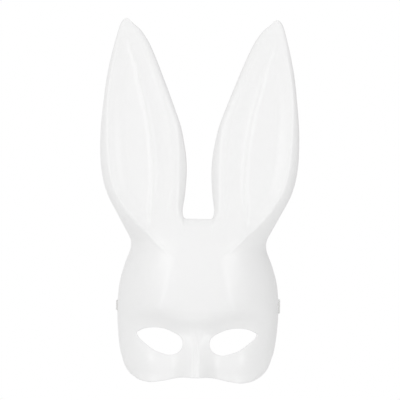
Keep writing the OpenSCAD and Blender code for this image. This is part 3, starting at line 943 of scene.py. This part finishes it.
def slider_plastic():
    """White acetal with a fine spark-eroded grain."""
    n = Nodes("slider_plastic")
    place = n.add("TexCoord").outputs["Object"]
    grain = n.add("TexNoise", {"Vector": place, "Scale": 2600.0, "Detail": 3.0})
    broad = n.add("TexNoise", {"Vector": place, "Scale": 120.0, "Detail": 2.0})
    tint = n.add("MixRGB", {"Fac": broad.outputs["Fac"], "Color1": (0.76, 0.76, 0.75, 1),
                            "Color2": (0.82, 0.82, 0.81, 1)})
    bump = n.add("Bump", {"Height": grain.outputs["Fac"], "Strength": 0.35, "Distance": 0.00006})
    rough = n.add("MapRange", {"Value": broad.outputs["Fac"], "To Min": 0.34, "To Max": 0.5})
    n.set(Base_Color=tint.outputs["Color"], Roughness=rough.outputs["Result"],
          Normal=bump.outputs["Normal"])
    return n.material


# ---------------------------------------------------------------- stage and light
def make_stage():
    """A round pale floor below the object, out of the front camera's sight."""
    drop = 0.12
    bpy.ops.mesh.primitive_circle_add(vertices=96, radius=1.5, fill_type="NGON",
                                      location=(0, 0.05, cad_box[0][2] - drop))
    floor = bpy.context.object
    floor.name = "floor"
    n = Nodes("floor_paper")
    n.set(Base_Color=(0.95, 0.95, 0.95, 1), Roughness=0.9)
    floor.data.materials.append(n.material)


def make_world(toward, low, high, dark, drop):
    """White to the camera. As a light it is a white room, with strength high in the direction
    toward and low behind it, less up to drop in the direction dark."""
    world = bpy.data.worlds.new("studio")
    bpy.context.scene.world = world
    world.use_nodes = True
    tree = world.node_tree
    link = tree.links.new
    background = tree.nodes["Background"]
    background.inputs["Color"].default_value = (1, 1, 1, 1)
    place = tree.nodes.new("ShaderNodeTexCoord")

    def lobe(direction, start, end, at_start, at_end):
        """A value that goes from at_start to at_end as rays turn to the direction."""
        dot = tree.nodes.new("ShaderNodeVectorMath")
        dot.operation = "DOT_PRODUCT"
        dot.inputs[1].default_value = Vector(direction).normalized()
        spread = tree.nodes.new("ShaderNodeMapRange")
        spread.interpolation_type = "SMOOTHSTEP"
        for name, value in (("From Min", start), ("From Max", end), ("To Min", at_start),
                            ("To Max", at_end)):
            spread.inputs[name].default_value = value
        link(place.outputs["Generated"], dot.inputs[0])
        link(dot.outputs["Value"], spread.inputs["Value"])
        return spread.outputs["Result"]

    room = tree.nodes.new("ShaderNodeMath")
    room.operation = "SUBTRACT"
    link(lobe(toward, -0.4, 0.8, low, high), room.inputs[0])
    link(lobe(dark, 0.35, 0.95, 0, drop), room.inputs[1])
    path = tree.nodes.new("ShaderNodeLightPath")
    choose = tree.nodes.new("ShaderNodeMix")
    choose.inputs["B"].default_value = 1.0
    link(room.outputs["Value"], choose.inputs["A"])
    link(path.outputs["Is Camera Ray"], choose.inputs["Factor"])
    link(choose.outputs["Result"], background.inputs["Strength"])


def area_light(name, place, aim, size, power):
    """A rectangular softbox, sizes and places in metres."""
    data = bpy.data.lights.new(name, "AREA")
    data.shape = "RECTANGLE"
    data.size, data.size_y = size
    data.energy = power
    light = bpy.data.objects.new(name, data)
    bpy.context.scene.collection.objects.link(light)
    light.location = place
    light.rotation_euler = (Vector(aim) - Vector(place)).to_track_quat("-Z", "Y").to_euler()


# ---------------------------------------------------------------- the object
def finished(piece, material, slot, body, *nodes):
    """Gives a piece its material, hides the CAD parts it stands for and attaches it to the body it moves
    with.
    """
    piece.data.materials.append(material)
    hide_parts(*nodes)
    if body:
        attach(piece, body)
    return piece


make_camera()
bpy.context.scene.view_settings.view_transform = "Standard"
finished(make_shell(), shell_plastic(), "shell", "shell", "mask_shell")
foam = closed_cell_foam()
for name, (node, middle, size, tilt) in PADS.items():
    pad = finished(make_pad(name, middle, size[0], size[1], tilt), foam, "foam", "shell", node)
webbing = finished(make_webbing(), elastic_webbing(), "webbing", None, "left_loop", "right_loop",
                   "strap_band", "strap_tail", "sewn_lap")
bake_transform(webbing)
thread = sewing_thread()
finished(make_lap_tack(), thread, "thread", "strap", "lap_tack")
finished(make_tail_tack(), thread, "thread", "strap", "tail_tack")
finished(make_slider(), slider_plastic(), "slider", "slider", "slider")
make_stage()
make_world(toward=(-0.07, -0.9, 0.43), low=0.82, high=0.935, dark=(0.88, 0.4, 0.25), drop=0.24)
area_light("left_box", (-0.95, -0.95, 0.35), aim=(0, 0, 0.14), size=(0.34, 1.1), power=2.9)
area_light("right_box", (0.95, -0.95, 0.35), aim=(0, 0, 0.14), size=(0.30, 1.1), power=3.0)
